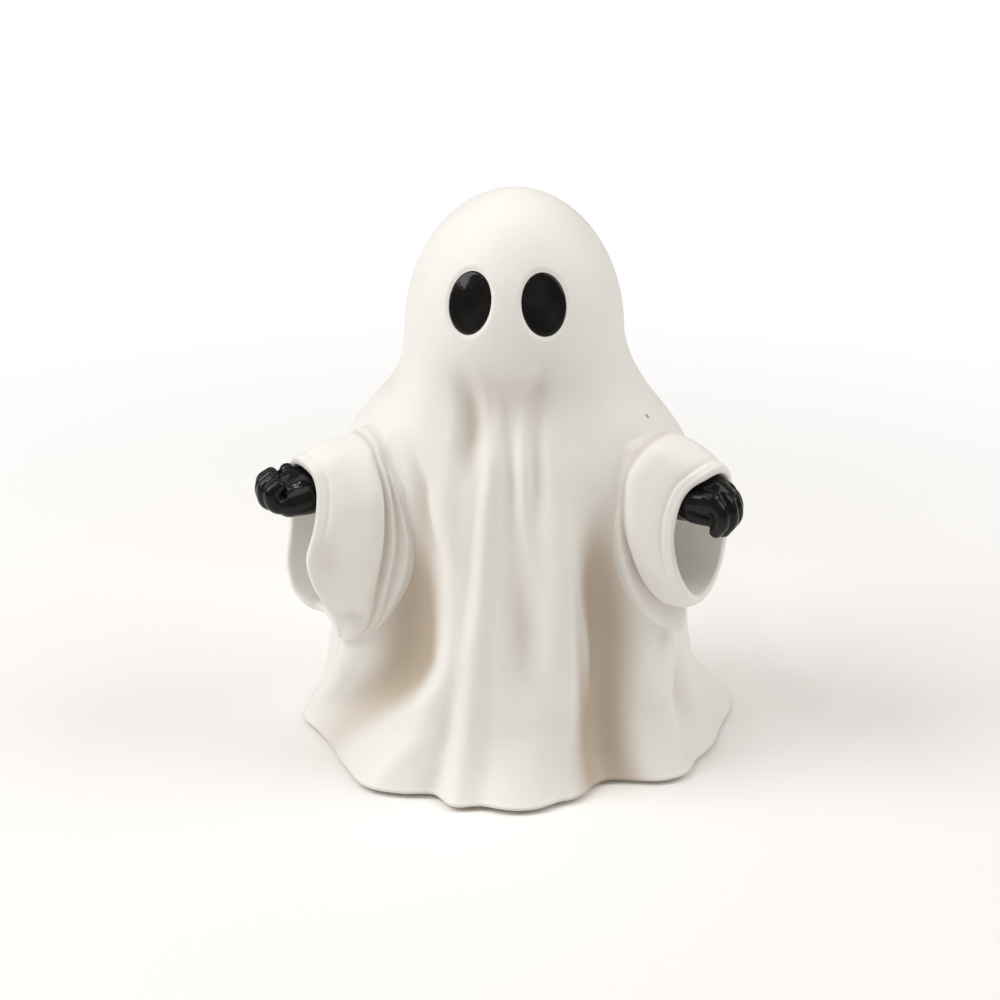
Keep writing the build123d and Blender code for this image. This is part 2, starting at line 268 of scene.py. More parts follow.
def makeWhiteGlaze():
    material, tree, shader, place = newMaterial("satinWhiteGlaze")
    clouds = noiseNode(tree, place, whiteLook["cloudScale"], 4)
    base = mixColours(tree, rangeNode(tree, clouds, 0.35, 0.7), whiteLook["ridge"], whiteLook["cloud"])
    # painted shade: a warm brown is mixed in where the folds sink in, partly glaze pooling in the hollows,
    # mostly standing in for the shade that falls in the creases
    hollow = addNode(tree, "ShaderNodeAttribute", attribute_name="hollow").outputs["Fac"]
    poolAndShadeShare = rangeNode(tree, hollow, 0.0, -whiteLook["poolAndShadeDepth"])
    feed(tree, shader.inputs["Base Color"], mixColours(tree, poolAndShadeShare, base, whiteLook["poolAndShade"]))
    smears = noiseNode(tree, place, whiteLook["smearScale"])
    feed(tree, shader.inputs["Roughness"], rangeNode(tree, smears, 0.3, 0.7, *whiteLook["rough"]))
    waves = bumpNode(tree, noiseNode(tree, place, whiteLook["waveScale"], 2), 0.12, 0.0006)
    grain = bumpNode(tree, noiseNode(tree, place, whiteLook["grainScale"], 2), 0.10, 0.00008, waves)
    feed(tree, shader.inputs["Normal"], grain)
    shader.inputs["IOR"].default_value = whiteLook["ior"]
    return material


blackLook = {
    "deep": (0.004, 0.004, 0.0045, 1), "thin": (0.014, 0.0135, 0.013, 1), "ior": 1.32,
    "handRough": (0.10, 0.2), "eyeRough": (0.05, 0.1),
    "cloudScale": 90, "smearScale": 400, "waveScale": 420,
}


def makeBlackGlaze(name, rough):
    material, tree, shader, place = newMaterial(name)
    clouds = rangeNode(tree, noiseNode(tree, place, blackLook["cloudScale"], 4), 0.4, 0.75)
    feed(tree, shader.inputs["Base Color"], mixColours(tree, clouds, blackLook["deep"], blackLook["thin"]))
    smears = noiseNode(tree, place, blackLook["smearScale"])
    feed(tree, shader.inputs["Roughness"], rangeNode(tree, smears, 0.3, 0.7, *rough))
    waves = bumpNode(tree, noiseNode(tree, place, blackLook["waveScale"], 2), 0.14, 0.0004)
    feed(tree, shader.inputs["Normal"], waves)
    shader.inputs["IOR"].default_value = blackLook["ior"]
    return material


clayLook = {
    "dark": (0.78, 0.72, 0.63, 1), "pale": (0.86, 0.81, 0.73, 1), "speck": (0.52, 0.43, 0.33, 1),
    "rough": (0.78, 0.92), "cloudScale": 70, "speckScale": 1500, "grainScale": 1900,
}


def makeBareCeramic():
    material, tree, shader, place = newMaterial("bareCeramic")
    clouds = noiseNode(tree, place, clayLook["cloudScale"], 5)
    specks = rangeNode(tree, noiseNode(tree, place, clayLook["speckScale"], 1), 0.68, 0.74)
    clay = mixColours(tree, clouds, clayLook["dark"], clayLook["pale"])
    feed(tree, shader.inputs["Base Color"], mixColours(tree, specks, clay, clayLook["speck"]))
    feed(tree, shader.inputs["Roughness"], rangeNode(tree, clouds, 0.3, 0.7, *clayLook["rough"]))
    grain = noiseNode(tree, place, clayLook["grainScale"], 4)
    feed(tree, shader.inputs["Normal"], bumpNode(tree, grain, 0.25, 0.0002))
    return material


woodLook = {
    "dark": (0.50, 0.34, 0.19, 1), "pale": (0.74, 0.58, 0.39, 1), "rough": (0.5, 0.7),
    "stretch": (120, 120, 900), "grainScale": 1.6,
}


def makeDowelWood():
    material, tree, shader, place = newMaterial("turnedDowelWood")
    stretch = addNode(tree, "ShaderNodeMapping")
    stretch.inputs["Scale"].default_value = woodLook["stretch"]
    feed(tree, stretch.inputs["Vector"], place)
    grain = noiseNode(tree, stretch.outputs[0], woodLook["grainScale"], 5, 0.6)
    feed(tree, shader.inputs["Base Color"], mixColours(tree, grain, woodLook["dark"], woodLook["pale"]))
    feed(tree, shader.inputs["Roughness"], rangeNode(tree, grain, 0.2, 0.8, *woodLook["rough"]))
    feed(tree, shader.inputs["Normal"], bumpNode(tree, grain, 0.3, 0.0002))
    return material


feltLook = {
    "dark": (0.20, 0.19, 0.175, 1), "pale": (0.42, 0.40, 0.375, 1), "rough": (0.88, 0.98),
    "fibreScale": 1700, "sheen": 0.35,
}


def makePadFelt():
    material, tree, shader, place = newMaterial("pressedFelt")
    fibres = noiseNode(tree, place, feltLook["fibreScale"], 6, 0.7)
    feed(tree, shader.inputs["Base Color"], mixColours(tree, fibres, feltLook["dark"], feltLook["pale"]))
    feed(tree, shader.inputs["Roughness"], rangeNode(tree, fibres, 0.2, 0.8, *feltLook["rough"]))
    feed(tree, shader.inputs["Normal"], bumpNode(tree, fibres, 0.6, 0.0004))
    shader.inputs["Sheen Weight"].default_value = feltLook["sheen"]
    return material


whiteGlaze = makeWhiteGlaze()
blackGlaze = makeBlackGlaze("glossBlackGlaze", blackLook["handRough"])
eyeGlaze = makeBlackGlaze("eyeBlackGlaze", blackLook["eyeRough"])
bareCeramic = makeBareCeramic()
dowelWood = makeDowelWood()
padFelt = makePadFelt()
print("finishes made")

# Robe and head
robe = {
    "wall": 4.0, "footFloor": 5.0, "footOpening": 48.0, "hemRound": 1.4,
    "templeHeight": 150.0, "crownHeight": 200.0, "headRadius": 38.5,
    # height, then reach to the front, the sides and the back
    "rings": [
        (1.5, 75.5, 76.5, 71.0), (10.0, 69.0, 71.5, 67.0), (20.0, 64.0, 67.0, 64.0),
        (32.0, 60.5, 64.5, 61.0), (50.0, 56.0, 63.0, 57.5), (75.0, 51.0, 60.5, 53.0),
        (100.0, 46.0, 59.0, 48.5), (112.0, 43.0, 56.5, 46.0), (122.0, 39.8, 52.2, 43.0),
        (131.0, 37.6, 46.2, 40.2), (139.0, 36.8, 41.8, 38.5),
    ],
    "domeRing": 11.0,  # one more ring this far above the temples leads into the dome
    "fineStep": 0.75, "fineHalf": 37.0, "coarseStep": 1.6,  # degrees between columns
    "robeRows": 118, "innerRows": 50,
    "ventRadius": 0.8, "ventTurn": 70.0, "ventHeight": 124.8, "ventDepth": 24.0, "ventSides": 24,
}
# Each fold: heights of its top, middle and low end; turn at the top; then turn, push and half width
# at the middle and at the low end; and how sharp it is. Ridges push out, valleys in. Turns are degrees
# from the front towards the figure's own left.
folds = {
    "underChin": ((154, 137, 112), 0, (0, -3.0, 50), (0, 0, 55), 1.0),
    "leftShoulder": ((134, 110, 90), 74, (80, 5.6, 34), (72, 0, 34), 1.0),
    "rightShoulder": ((126, 108, 90), -74, (-80, 3.4, 34), (-72, 0, 34), 1.0),
    "rightNeck": ((152, 132, 118), -85, (-85, -2.2, 44), (-85, 0, 44), 1.0),
    "chestValley": ((152, 120, 101), -25, (-17.5, -3.8, 10), (-13, 0, 11), 1.0),
    "chestRidge": ((116, 98, 66), -28, (-26, 1.4, 8), (-15, 0, 9), 1.0),
    "throatHollow": ((160, 138, 118), 21, (20, -1.6, 9), (18, 0, 9), 1.0),
    "centreCrease": ((142, 104, 70), 0.5, (4, -1.6, 5), (6, -0.2, 7), 1.0),
    "centreHollow": ((98, 56, 14), 4.5, (8.5, -3.2, 10), (12, 0, 12), 1.0),
    "breastRidge": ((140, 118, 94), 9.2, (8.8, 1.1, 4.2), (8.5, 0, 5), 1.0),
    "breastValley": ((136, 112, 82), 17.5, (15.5, -2.0, 6), (14, 0, 7), 1.0),
    "mainRidge": ((140, 96, 1.5), -4, (-7, 1.7, 6.5), (-10.5, 3.4, 9), 1.3),
    "frontLobe": ((60, 24, 1.5), 8, (8, 1.0, 13), (6, 3.4, 13), 1.0),
    "rightValley": ((120, 44, 1.5), -41, (-38, -11.0, 20), (-63, -3.6, 18), 0.8),
    "rightCrease": ((122, 102, 76), -44, (-36, -2.4, 5), (-30, 0, 6), 1.0),
    "hemLobe": ((66, 24, 1.5), -13, (-24, 2.6, 10), (-35, 4.6, 14), 1.0),
    "hemNotch": ((38, 16, 1.5), -13, (-15, -1.0, 6), (-18, -3.0, 8), 1.0),
    "rightRidge": ((64, 30, 1.5), -58, (-64, 4.6, 11), (-82, 2.0, 12), 1.5),
    "leftRidge": ((122, 78, 1.5), 20, (22.5, 2.2, 9), (19, -2.0, 9), 1.0),
    "leftCrease": ((90, 56, 20), 27, (28.5, -1.3, 3.6), (30, 0, 5), 1.0),
    "leftPleat": ((72, 42, 10), 34, (34, 1.6, 4.2), (33, 0.2, 5), 1.0),
    "leftValley": ((118, 60, 1.5), 41, (41.5, -10.0, 16.5), (34, -11.0, 14.5), 0.8),
    "leftSpine": ((56, 25, 1.5), 74, (56, 6.5, 8.5), (54, 3.6, 12), 1.3),
    "flankHollow": ((50, 22, 1.5), 76, (72, -3.4, 13), (74, 1.4, 18), 1.0),
    "flankLobe": ((52, 24, 1.5), 100, (103, 0.6, 16), (104, 6.8, 24), 1.0),
    "backValleyLeft": ((92, 40, 1.5), 126, (127, -2.4, 12), (130, -3.5, 14), 1.0),
    "backRidgeLeft": ((112, 50, 1.5), 144, (145, 2.6, 12), (148, 4.2, 15), 1.2),
    "backValleyMiddle": ((114, 60, 1.5), 164, (165, -2.4, 10), (167, -3.5, 13), 1.0),
    "backRidgeMiddle": ((118, 54, 1.5), 188, (187, 2.6, 12), (186, 4.2, 15), 1.2),
    "backValleyRight": ((108, 52, 1.5), 210, (208, -2.4, 11), (207, -3.6, 13), 1.0),
    "backRidgeRight": ((94, 44, 1.5), 230, (228, 2.8, 13), (226, 4.6, 15), 1.2),
    "sideValleyRight": ((76, 36, 1.5), 247, (246, -2.0, 10), (245, -3.0, 12), 1.0),
    "sideRidgeRight": ((62, 26, 1.5), 263, (263, 4.6, 15), (258, 1.4, 15), 1.2),
}
eyes = {
    "turn": 21.3, "rise": 18.8, "width": 15.6, "length": 21.4,
    "thickness": 1.6, "recess": 0.6, "clearance": 0.12, "lip": 1.5, "edgeRound": 0.5,
    "pocketReach": 3.0, "pocketRound": 0.1,  # how far a pocket's cutter stands out, and its edge
    "nearDepth": 8.0, "nearReach": 20.0,  # how far from an eye its lip is looked for
    "columns": 96, "faceRows": 14, "backRows": 8, "poleShare": 0.06,
}
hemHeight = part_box("robe_shell")[0].z / mm
crownRise = robe["crownHeight"] - robe["templeHeight"]


def domeReach(rise):  # reach of the head at a height above the temples
    return robe["headRadius"] * math.sqrt(1 - (rise / crownRise) ** 2)


ringTable = np.array(robe["rings"] + [
    (robe["templeHeight"] + rise, *[domeReach(rise)] * 3) for rise in (0.0, robe["domeRing"])])


def robeReach(turn, height):  # reach of the plain robe, before its folds
    front, side, back = (smoothRun(ringTable[:, 0], ringTable[:, place], height) for place in (1, 2, 3))
    lengthwise = np.cos(np.radians(turn))
    ends = np.where(lengthwise > 0, front, back)
    return ends * lengthwise**2 + side * (1 - lengthwise**2)


def ringPoints(turns, reach, height):
    angle = np.radians(turns)
    reach = np.broadcast_to(reach, turns.shape)
    return np.stack([reach * np.sin(angle), -reach * np.cos(angle), np.full(turns.shape, height)], -1)


def eyePlane(side):
    # middle of an eye on the head, its level and upward directions, and the way it faces
    turn = math.radians(side * eyes["turn"])
    reach = domeReach(eyes["rise"])
    ahead = np.array([math.sin(turn), -math.cos(turn), 0])
    middle = ahead * reach + [0, 0, robe["templeHeight"] + eyes["rise"]]
    facing = ahead * reach / robe["headRadius"] ** 2 + [0, 0, eyes["rise"] / crownRise**2]
    facing /= np.linalg.norm(facing)
    level = np.array([math.cos(turn), math.sin(turn), 0])
    return middle, level, np.cross(facing, level), facing


def headDepth(points, facing, inset):
    # how far points have to go along the facing direction to reach the head, inset from its surface
    scale = 1 / np.array([robe["headRadius"] - inset, robe["headRadius"] - inset, crownRise - inset])
    start = (points - [0, 0, robe["templeHeight"]]) * scale
    step = facing * scale
    a, b, c = step @ step, start @ step, (start * start).sum(-1) - 1
    return (-b + np.sqrt(np.maximum(b * b - a * c, 0))) / a


def robeColumns():
    half, fine, coarse = robe["fineHalf"], robe["fineStep"], robe["coarseStep"]
    front = np.arange(-half, half, fine)
    rest = np.linspace(half, 360 - half, round((360 - 2 * half) / coarse), endpoint=False)
    return np.concatenate([front, rest])


def robeRows(turns):
    # points, share of the folds' push, inside mark and height of each row, from crown to hem to inner crown
    wall, opening, rounding = robe["wall"], robe["footOpening"], robe["hemRound"]
    floor = hemHeight + robe["footFloor"]
    rows = []

    def addRow(reach, height, share=1.0, inside=0.0):
        rows.append((ringPoints(turns, reach, height), share, inside, height))

    def headRows(angles, inset, inside):
        for angle in angles:
            reach = (robe["headRadius"] - inset) * math.cos(angle)
            addRow(reach, robe["templeHeight"] + (crownRise - inset) * math.sin(angle), 1.0, inside)

    # rows lie closest across the eyes
    crownAngles = np.concatenate([
        np.linspace(88.5, 41, 34, endpoint=False),
        np.linspace(41, 7, 66, endpoint=False),
        np.linspace(7, 0, 6),
    ])
    headRows(np.radians(crownAngles), 0, 0)
    for height in np.linspace(robe["templeHeight"], hemHeight + rounding, robe["robeRows"])[1:]:
        addRow(robeReach(turns, height), height)
    hemReach = robeReach(turns, hemHeight)
    for angle in np.radians((25, 50, 70)):
        addRow(hemReach - rounding * (1 - math.cos(angle)), hemHeight + rounding * (1 - math.sin(angle)))
    # in under the hem, up through the foot's opening and out over its floor
    for share in (0.96, 0.8, 0.55, 0.3, 0.1):
        addRow(opening + (hemReach - opening) * share, hemHeight, share, 1)
    for inward, height in ((0.25, 0.25), (0, 1.0), (0, 2.5), (0, 4.0), (0.25, 4.75)):
        addRow(opening + inward, hemHeight + height, 0, 1)
    floorReach = robeReach(turns, floor) - wall
    for share in (0.1, 0.35, 0.6, 0.85):
        addRow(opening + (floorReach - opening) * share, floor, share, 1)
    for height in np.linspace(floor + 1.0, robe["templeHeight"], robe["innerRows"]):
        addRow(robeReach(turns, height) - wall, height, 1.0, 1)
    headRows(np.radians(np.linspace(3, 86, 24)), wall, 1)
    return rows


def sinkEyes(points):
    # soft lips round the eyes, before their pockets are cut
    for side in (1, -1):
        middle, level, upward, facing = eyePlane(side)
        across, along = (points - middle) @ level, (points - middle) @ upward
        ahead = (points - middle) @ facing > -eyes["nearDepth"]
        near = ahead & (np.hypot(across, along) < eyes["nearReach"])
        halfWidth, halfLength = eyes["width"] / 2, eyes["length"] / 2
        ratio = np.hypot(across / halfWidth, along / halfLength)
        outside = (ratio - 1) * np.minimum(halfWidth, halfLength)
        sink = eyes["recess"] * (1 - smoothStep(0.0, eyes["lip"], outside))
        points[near] -= sink[near, None] * facing
    return points


def foldGroup():
    tree, given, result = newTree(
        "drapeFold",
        [("Turn", "Float"), ("Rise", "Float"), ("Heights", "Vector"), ("Top", "Vector"),
         ("Middle", "Vector"), ("Low", "Vector"), ("Sharp", "Float")],
        ("Push", "Float"))
    top, middle, low = splitVector(tree, given["Heights"])
    upper = rangeNode(tree, given["Rise"], top, middle)
    lower = rangeNode(tree, given["Rise"], middle, low)
    station = mixVectors(tree, upper, given["Top"], given["Middle"])
    centre, push, width = splitVector(tree, mixVectors(tree, lower, station, given["Low"]))
    away = mathNode(tree, "WRAP", mathNode(tree, "SUBTRACT", given["Turn"], centre), 180, -180)
    share = mathNode(tree, "MINIMUM", mathNode(tree, "DIVIDE", mathNode(tree, "ABSOLUTE", away), width), 1)
    wave = mathNode(tree, "COSINE", mathNode(tree, "MULTIPLY", share, math.pi))
    bump = mathNode(tree, "MULTIPLY_ADD", wave, 0.5, 0.5)
    shaped = mathNode(tree, "POWER", bump, given["Sharp"])
    feed(tree, result["Push"], mathNode(tree, "MULTIPLY", shaped, push))
    return tree


def pushFolds(tree, shape, depth):
    # moves the rows in and out by the sum of the folds, and keeps that push as the mask of the shade
    # painted into the glaze's hollows
    turn, rise, share = (namedValue(tree, name) for name in ("turn", "rise", "share"))
    group = foldGroup()
    total = None
    for name, (heights, topTurn, middle, low, sharp) in folds.items():
        node = addNode(tree, "GeometryNodeGroup", node_tree=group, label=name)
        values = {"Turn": turn, "Rise": rise, "Heights": heights, "Top": (topTurn, 0, middle[2]),
                  "Middle": middle, "Low": low, "Sharp": sharp}
        for label, value in values.items():
            feed(tree, node.inputs[label], value)
        total = node.outputs[0] if total is None else mathNode(tree, "ADD", total, node.outputs[0])
    push = mathNode(tree, "MULTIPLY", mathNode(tree, "MULTIPLY", total, share), depth)
    angle = mathNode(tree, "RADIANS", turn)
    reach = mathNode(tree, "MULTIPLY", push, mm)
    sideways = mathNode(tree, "SINE", angle)
    lengthwise = mathNode(tree, "MULTIPLY", mathNode(tree, "COSINE", angle), -1)  # the front is -Y
    offset = addNode(tree, "ShaderNodeCombineXYZ")
    feed(tree, offset.inputs[0], mathNode(tree, "MULTIPLY", reach, sideways))
    feed(tree, offset.inputs[1], mathNode(tree, "MULTIPLY", reach, lengthwise))
    moved = addNode(tree, "GeometryNodeSetPosition")
    feed(tree, moved.inputs["Geometry"], shape)
    feed(tree, moved.inputs["Offset"], offset.outputs[0])
    # the kept push darkens the white glaze in the folds: painted shade
    kept = addNode(tree, "GeometryNodeStoreNamedAttribute", data_type="FLOAT", domain="POINT")
    kept.inputs["Name"].default_value = "hollow"
    feed(tree, kept.inputs["Geometry"], moved.outputs[0])
    feed(tree, kept.inputs["Value"], push)
    return kept.outputs[0]


def ventDrill(tree, radius, place, turn):
    # the firing vent is a drill laid level across the shoulder
    drill = addNode(tree, "GeometryNodeMeshCylinder")
    drill.inputs["Vertices"].default_value = robe["ventSides"]
    drill.inputs["Depth"].default_value = robe["ventDepth"] * mm
    feed(tree, drill.inputs["Radius"], radius)
    spin = addNode(tree, "ShaderNodeCombineXYZ")
    spin.inputs[0].default_value = math.pi / 2
    feed(tree, spin.inputs[2], turn)
    laid = addNode(tree, "GeometryNodeTransform")
    feed(tree, laid.inputs["Geometry"], drill.outputs["Mesh"])
    feed(tree, laid.inputs["Translation"], place)
    feed(tree, laid.inputs["Rotation"], spin.outputs[0])
    return laid.outputs[0]


def glazeOver(tree, shape):
    # glaze outside, bare clay inside
    glazed = addNode(tree, "GeometryNodeSetMaterial")
    glazed.inputs["Material"].default_value = whiteGlaze
    feed(tree, glazed.inputs["Geometry"], shape)
    bare = addNode(tree, "GeometryNodeSetMaterial")
    bare.inputs["Material"].default_value = bareCeramic
    feed(tree, bare.inputs["Geometry"], glazed.outputs[0])
    feed(tree, bare.inputs["Selection"], mathNode(tree, "GREATER_THAN", namedValue(tree, "inside"), 0.9))
    return bare.outputs[0]


def robeTree():
    tree, given, result = newTree(
        "robeDrape",
        [("Geometry", "Geometry"), ("Fold Depth", "Float"), ("Vent Radius", "Float"),
         ("Vent Place", "Vector"), ("Vent Turn", "Float"), ("Eye Pockets", "Object")],
        ("Geometry", "Geometry"))
    draped = pushFolds(tree, given["Geometry"], given["Fold Depth"])
    drill = ventDrill(tree, given["Vent Radius"], given["Vent Place"], given["Vent Turn"])
    pockets = addNode(tree, "GeometryNodeObjectInfo")
    feed(tree, pockets.inputs["Object"], given["Eye Pockets"])
    cut = addNode(tree, "GeometryNodeMeshBoolean", operation="DIFFERENCE", solver="MANIFOLD")
    feed(tree, cut.inputs[0], draped)
    feed(tree, cut.inputs[1], drill)
    feed(tree, cut.inputs[1], pockets.outputs["Geometry"])
    crisp = addNode(tree, "GeometryNodeSetShadeSmooth", domain="EDGE")
    feed(tree, crisp.inputs["Geometry"], cut.outputs["Mesh"])
    feed(tree, crisp.inputs["Selection"], cut.outputs["Intersecting Edges"])
    crisp.inputs["Shade Smooth"].default_value = False
    whole = addNode(tree, "GeometryNodeRealizeInstances")
    feed(tree, whole.inputs[0], crisp.outputs[0])
    feed(tree, result["Geometry"], glazeOver(tree, whole.outputs[0]))
    return tree


def eyeRows(grow, front, back, rounding):
    # for each eye, rows of an oval lens that follows the head, from the middle of its face round
    # to its back, and the middles of both
    lenses = []
    around = np.radians(np.linspace(0, 360, eyes["columns"], endpoint=False))
    for side in (1, -1):
        middle, level, upward, facing = eyePlane(side)
        halfWidth, halfLength = eyes["width"] / 2 + grow, eyes["length"] / 2 + grow

        def lensRow(share, inset):
            flat = (middle + np.outer(np.cos(around) * halfWidth * share, level)
                    + np.outer(np.sin(around) * halfLength * share, upward))
            return flat + headDepth(flat, facing, inset)[:, None] * facing

        edge = rounding / halfWidth
        faceShares = np.linspace(eyes["poleShare"], 1 - edge, eyes["faceRows"])
        backShares = np.linspace(0.9, eyes["poleShare"], eyes["backRows"])
        rows = [lensRow(share, front) for share in faceShares]
        for angle in np.radians((30, 60, 90)):
            inset = front + rounding * (1 - math.cos(angle))
            rows.append(lensRow(1 - edge * (1 - math.sin(angle)), inset))
        rows += [lensRow(1.0, front + (back - front) * share) for share in (0.6, 1.0)]
        rows += [lensRow(share, back) for share in backShares]
        poles = [middle + headDepth(middle[None], facing, inset)[0] * facing for inset in (front, back)]
        lenses.append((np.array(rows), *poles))
    return lenses


def makeEyes():
    pieces = []
    lenses = eyeRows(0, eyes["recess"], eyes["recess"] + eyes["thickness"], eyes["edgeRound"])
    for name, (rows, first, last) in zip(("left", "right"), lenses):
        mesh = rowsToMesh(f"{name}_eye", rows, first, last)
        pieces.append((newPiece(f"{name}EyeInlay", mesh, [eyeGlaze]), f"{name}_eye", "eye_glaze"))
    return pieces


def makePocketCutters():
    gap = eyes["clearance"]
    depth = eyes["recess"] + eyes["thickness"] + gap
    lenses = eyeRows(gap, -eyes["pocketReach"], depth, eyes["pocketRound"])
    cutters = bmesh.new()
    for rows, first, last in lenses:
        cutters.from_mesh(rowsToMesh("eyePocket", rows, first, last))
    mesh = bpy.data.meshes.new("eyePockets")
    cutters.to_mesh(mesh)
    cutters.free()
    return newPiece("eyePockets", mesh)


def makeRobe():
    turns = robeColumns()
    rows = robeRows(turns)
    points = np.array([row[0] for row in rows])
    outer = np.array([row[2] == 0 and row[3] > robe["templeHeight"] for row in rows])
    points[outer] = sinkEyes(points[outer])
    top = np.array([0, 0, robe["templeHeight"] + crownRise])
    mesh = rowsToMesh("robeShell", points, top, top - [0, 0, robe["wall"]])
    poleRise = (top[2], top[2] - robe["wall"])
    addValues(mesh, "turn", np.concatenate([np.tile(turns, len(rows)), [0, 0]]))
    for name, place, poles in (("share", 1, (1, 1)), ("inside", 2, (0, 1)), ("rise", 3, poleRise)):
        spread = np.repeat([row[place] for row in rows], len(turns))
        addValues(mesh, name, np.concatenate([spread, poles]))
    piece = newPiece("robeAndHead", mesh)
    cutters = makePocketCutters()
    ventReach = robeReach(robe["ventTurn"], robe["ventHeight"])
    ventPlace = ringPoints(np.array([robe["ventTurn"]]), ventReach, robe["ventHeight"])[0]
    runTree(piece, robeTree(), {
        "Fold Depth": 1.0, "Eye Pockets": cutters,
        "Vent Radius": robe["ventRadius"] * mm, "Vent Turn": math.radians(robe["ventTurn"]),
        "Vent Place": toFrame(ventPlace).tolist()})
    bpy.data.objects.remove(cutters)
    return piece


robePiece = makeRobe()
eyePieces = makeEyes()
print("robe and eyes made,", len(robePiece.data.polygons), "faces in the robe")

# Sleeves. Arms lie out and forward from the shoulders: reach is along the arm, front across it
arms = {"forward": 25.0, "sides": {"left": 1, "right": -1}}
wristHeight = middleOf("left_hand_dowel").z / mm
robeTouch = BVHTree.FromPolygons(
    [vertex.co for vertex in robePiece.data.vertices],
    [list(face.vertices) for face in robePiece.data.polygons])


def armAxes(side):
    turn = math.radians(arms["forward"])
    outward = np.array([side * math.cos(turn), -math.sin(turn), 0])
    return outward, np.array([-side * math.sin(turn), -math.cos(turn), 0])


def armPoints(side, reach, front, up):
    outward, frontward = armAxes(side)
    reach, front, up = np.broadcast_arrays(reach, front, up)
    return (reach[..., None] * outward + front[..., None] * frontward
            + (up + wristHeight)[..., None] * np.array([0, 0, 1]))


